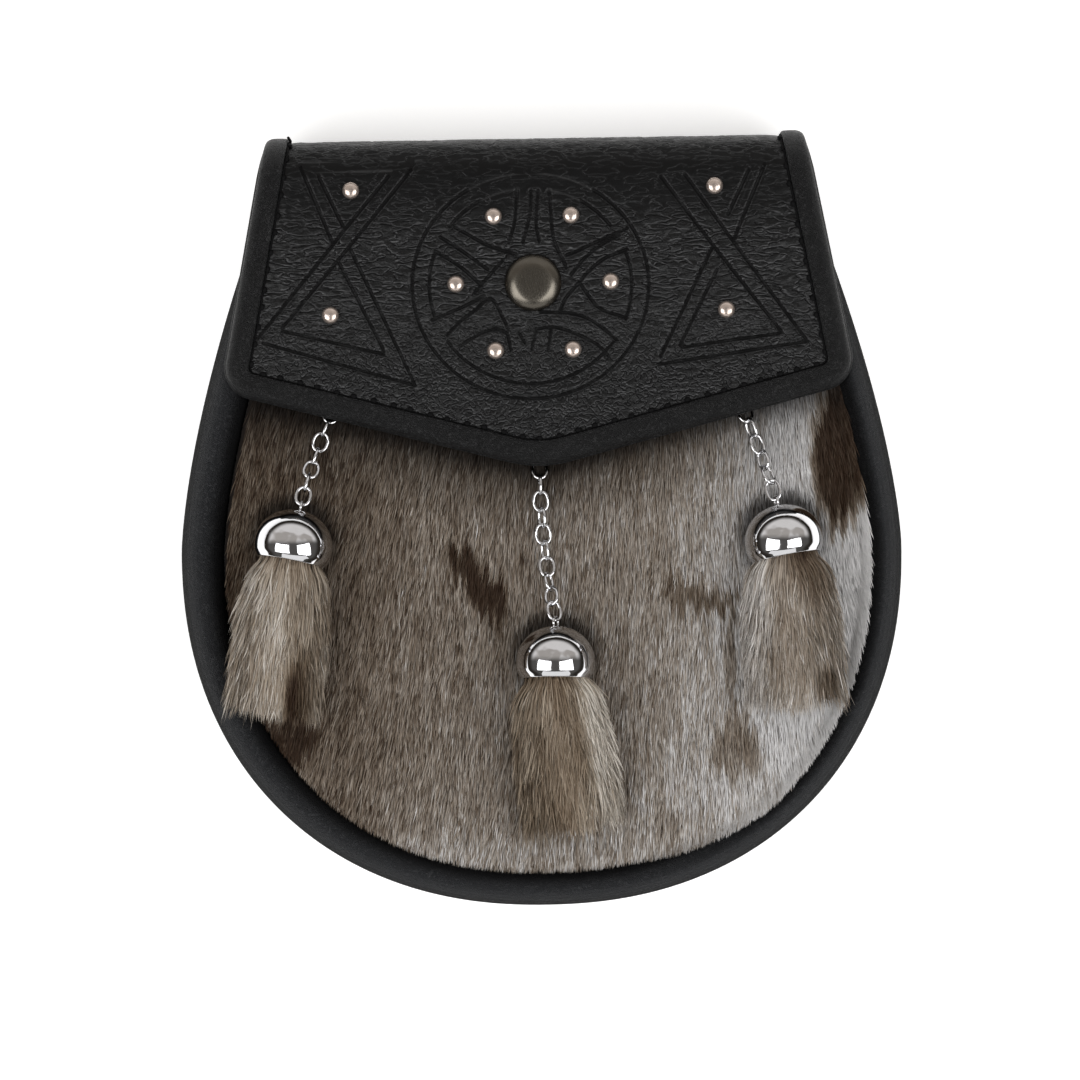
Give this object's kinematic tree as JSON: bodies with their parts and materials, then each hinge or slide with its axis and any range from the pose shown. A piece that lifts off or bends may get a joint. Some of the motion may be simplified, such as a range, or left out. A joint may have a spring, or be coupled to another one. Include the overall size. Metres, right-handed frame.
{
  "type": "sporran pouch",
  "caption": "D-shaped black leather sporran pouch lying on its back, with a seal-fur front, a bound and studded flap, and fur tassels with chrome caps on short chains.",
  "frame": {"origin": "centre of the bounding box, on the floor under the back of the pouch", "axes": "+X to the right as seen from the front, +Y to the top of the pouch, +Z out of its front"},
  "size_m": [0.19, 0.2034, 0.058],
  "materials": {
    "back_leather": "smooth, matt black",
    "rim_leather": "smooth, satin black",
    "flap_leather": "pebbled and embossed black",
    "binding_leather": "smooth, satin black",
    "seal_fur": "short grey-brown hair",
    "tassel_fur": "long pale grey-brown hair",
    "chrome": "polished",
    "gunmetal": "dark satin",
    "nickel": "polished"
  },
  "bodies": {
    "root": {"back_panel": "back_leather", "belt_loop_left": "back_leather", "belt_loop_right": "back_leather", "back_roll": "rim_leather", "front_roll": "rim_leather", "gusset": "rim_leather", "front_panel": "seal_fur", "flap": "flap_leather", "flap_binding": "binding_leather", "snap_fastener": "gunmetal", "stud_01": "nickel", "stud_02": "nickel", "stud_03": "nickel", "stud_04": "nickel", "stud_05": "nickel", "stud_06": "nickel", "stud_07": "nickel", "stud_08": "nickel", "stud_09": "nickel", "stud_10": "nickel", "chain_anchor_left": "chrome", "chain_anchor_centre": "chrome", "chain_anchor_right": "chrome", "left_link_1": "chrome", "left_link_2": "chrome", "left_link_3": "chrome", "left_link_4": "chrome", "left_link_5": "chrome", "left_link_6": "chrome", "left_link_7": "chrome", "centre_link_1": "chrome", "centre_link_2": "chrome", "centre_link_3": "chrome", "centre_link_4": "chrome", "centre_link_5": "chrome", "centre_link_6": "chrome", "centre_link_7": "chrome", "centre_link_8": "chrome", "centre_link_9": "chrome", "centre_link_10": "chrome", "right_link_1": "chrome", "right_link_2": "chrome", "right_link_3": "chrome", "right_link_4": "chrome", "right_link_5": "chrome", "right_link_6": "chrome", "tassel_cap_left": "chrome", "tassel_cap_centre": "chrome", "tassel_cap_right": "chrome", "tassel_fur_left": "tassel_fur", "tassel_fur_centre": "tassel_fur", "tassel_fur_right": "tassel_fur"}
  },
  "joints": []
}
